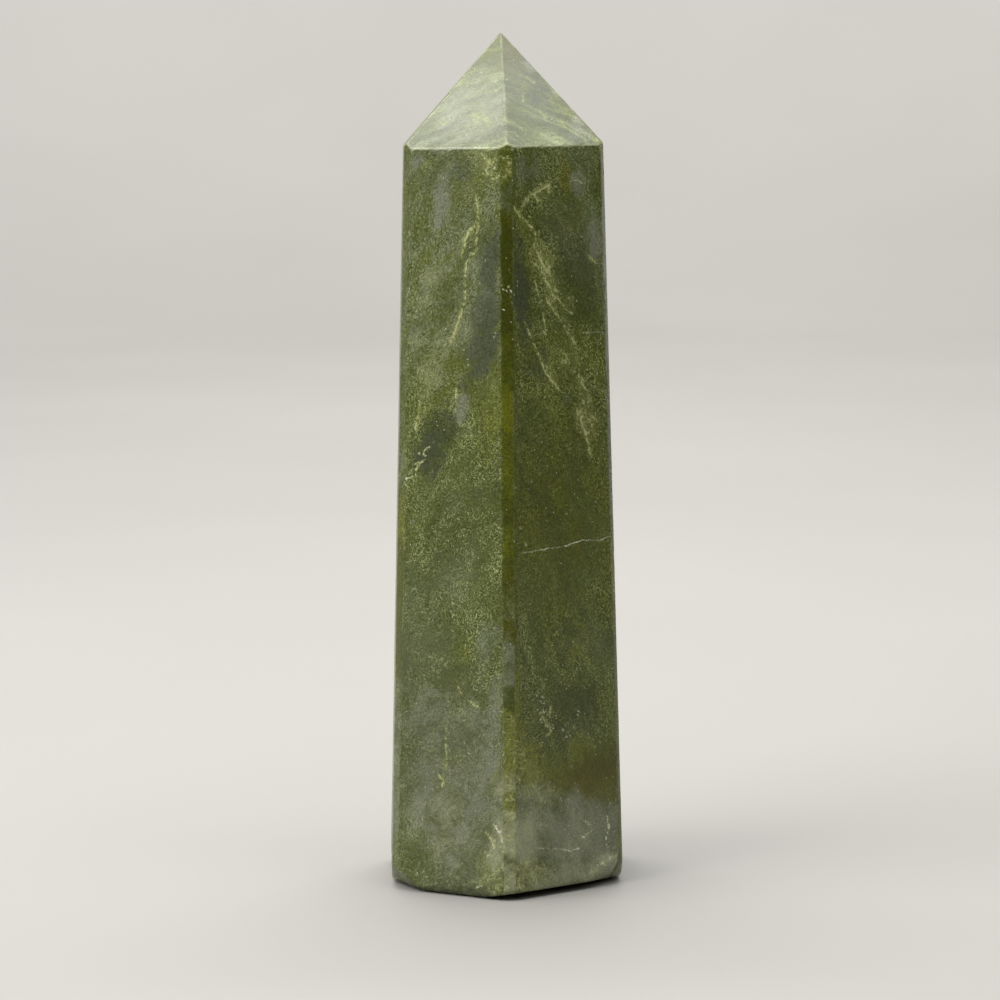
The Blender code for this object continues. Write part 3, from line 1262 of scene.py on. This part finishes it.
def make_camera():
    camera = add_object("camera", bpy.data.cameras.new("camera"))
    camera.data.lens = LENS
    camera.data.sensor_width = SENSOR
    pitch = Matrix.Rotation(math.pi / 2 - CAMERA_PITCH, 4, "X")
    roll = Matrix.Rotation(-CAMERA_ROLL, 4, "Z")
    camera.matrix_world = Matrix.Translation(CAMERA_PLACE * MM) @ pitch @ roll
    bpy.context.scene.camera = camera


class Lamp(NamedTuple):
    """A soft square lamp."""

    name: str
    place: tuple
    size: float
    power: float
    target: tuple = (0.0, 0.0, 50.0)
    colour: tuple = (1.0, 1.0, 1.0)


LAMPS = (
    Lamp("overhead", (-32.0, 0.0, 360.0), 520.0, 3.9, colour=(1.0, 1.0, 0.99)),
    Lamp("key", (-525.0, -245.0, 435.0), 560.0, 5.1, colour=(1.0, 1.0, 0.98)),
    Lamp("fill", (525.0, -245.0, 435.0), 400.0, 1.16),
    Lamp("rim", (420.0, 330.0, 140.0), 240.0, 0.12),
    Lamp("backdrop", (0.0, 500.0, 1100.0), 800.0, 40.0, target=(0.0, 1500.0, 400.0)),
)


def make_lamp(lamp):
    data = bpy.data.lights.new(lamp.name, "AREA")
    data.shape = "SQUARE"
    data.size = lamp.size * MM
    data.energy = lamp.power
    data.color = lamp.colour
    made = add_object(lamp.name, data)
    place = Vector(lamp.place)
    facing = (Vector(lamp.target) - place).to_track_quat("-Z", "Y").to_matrix().to_4x4()
    made.matrix_world = Matrix.Translation(place * MM) @ facing


WORLD_STRENGTH = 0.1
FLOOR_RADIUS = 900.0
SWEEP_RADIUS = 500.0
SWEEP_STEPS = 24
SWEEP_TOP = 2200.0
FLOOR_STEPS = 96
FLOOR_COLOURS = (linear(127, 125, 121), linear(131, 129, 125))
FLOOR_ROUGHNESS = 0.7


def make_world():
    world = bpy.data.worlds.new("studio")
    world.use_nodes = True
    background = world.node_tree.nodes["Background"]
    background.inputs["Color"].default_value = (1.0, 1.0, 1.0, 1.0)
    background.inputs["Strength"].default_value = WORLD_STRENGTH
    bpy.context.scene.world = world


def floor_profile():
    """The floor's outline from the rim of its flat part up the wall, as distance and height."""
    points = []
    for i in range(SWEEP_STEPS + 1):
        angle = math.pi / 2 * i / SWEEP_STEPS
        away = FLOOR_RADIUS + SWEEP_RADIUS * math.sin(angle)
        points.append((away, SWEEP_RADIUS * (1.0 - math.cos(angle))))
    points.append((FLOOR_RADIUS + SWEEP_RADIUS, SWEEP_TOP))
    return points


def floor_material():
    nodes = Tree("pale_floor")
    where = nodes.add("ShaderNodeTexCoord").outputs["Object"]
    mottle = nodes.noise(where, 3.0).outputs[0]
    colour = nodes.mix(nodes.ramp(mottle, 0.3, 0.7), *FLOOR_COLOURS)
    nodes.shade("Base Color", colour)
    nodes.shade("Roughness", FLOOR_ROUGHNESS)
    return nodes.material


def make_floor():
    """A round floor that curves up into a plain wall all round."""
    profile = floor_profile()
    points = [Vector()]
    for i in range(FLOOR_STEPS):
        turn = math.tau * i / FLOOR_STEPS
        level = Vector((math.sin(turn), -math.cos(turn), 0.0))
        points += [level * away + Vector((0.0, 0.0, height)) for away, height in profile]
    count = len(profile)
    faces = []
    for i in range(FLOOR_STEPS):
        here, beyond = 1 + i * count, 1 + (i + 1) % FLOOR_STEPS * count
        faces.append((0, here, beyond))
        for k in range(count - 1):
            faces.append((here + k, here + k + 1, beyond + k + 1, beyond + k))
    floor = add_smooth_object("floor", points, faces, floor_material())


def main():
    stone = Stone(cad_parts["tower"].data)
    polished = make_stone_object(stone, stone_material(stone))
    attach(polished, "root")
    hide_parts("tower")
    make_floor()
    make_camera()
    make_world()
    for lamp in LAMPS:
        make_lamp(lamp)
    view = bpy.context.scene.view_settings
    view.view_transform = "Standard"
    view.look = "None"


main()
